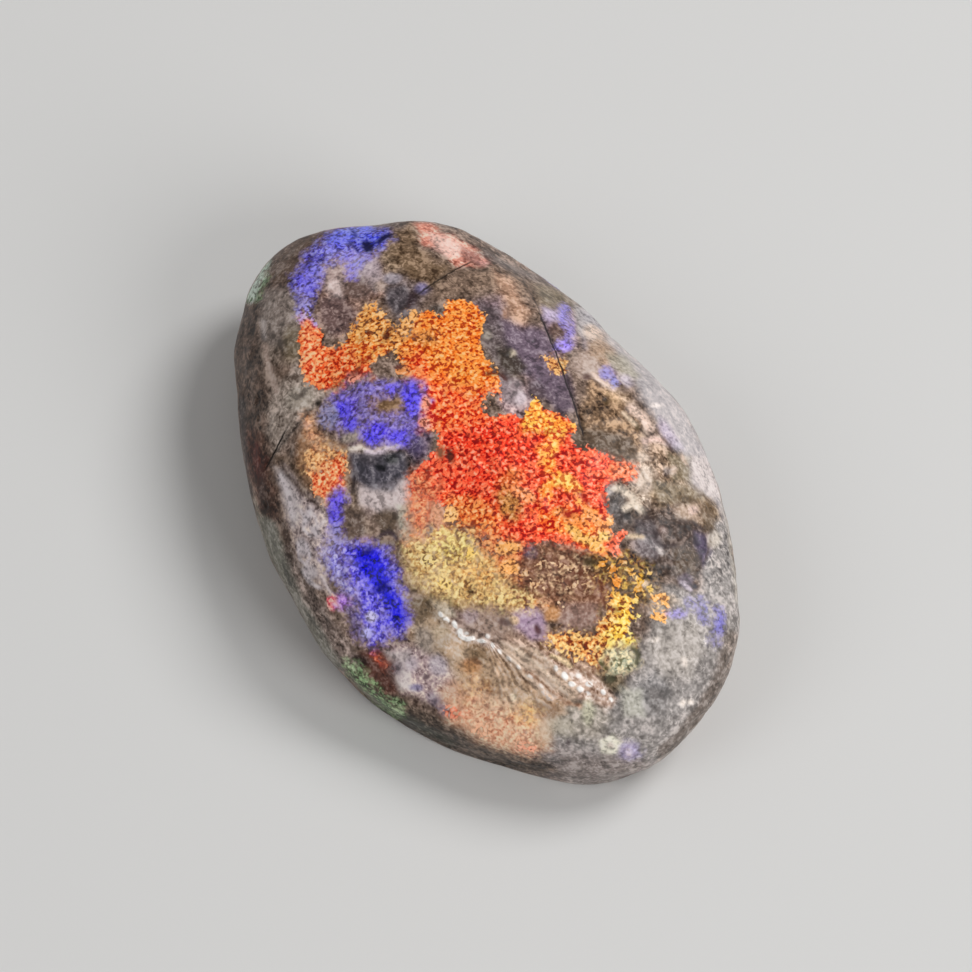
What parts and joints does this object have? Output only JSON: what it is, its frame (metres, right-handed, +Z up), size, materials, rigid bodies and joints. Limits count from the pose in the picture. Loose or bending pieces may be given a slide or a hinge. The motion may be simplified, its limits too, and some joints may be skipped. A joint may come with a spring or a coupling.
{
  "type": "rough opal",
  "caption": "Loose piece of rough boulder opal, hand-rubbed, with a slightly domed top, bevelled edges and a flat underside that it rests on.",
  "frame": {"origin": "centre of the stone's bounding box, at the level of its flat underside", "axes": "+Z up from the flat underside; +Y along the stone's length, towards its rounder, chipped crown end; +X towards the long side with the pale bevel"},
  "size_m": [0.0166, 0.0254, 0.0069],
  "materials": {
    "opal_stone": "wet-looking rubbed finish; taupe-grey mottled potch with patches of orange-red, gold, green and violet-blue play of colour"
  },
  "bodies": {
    "root": {"opal": "opal_stone"}
  },
  "joints": []
}
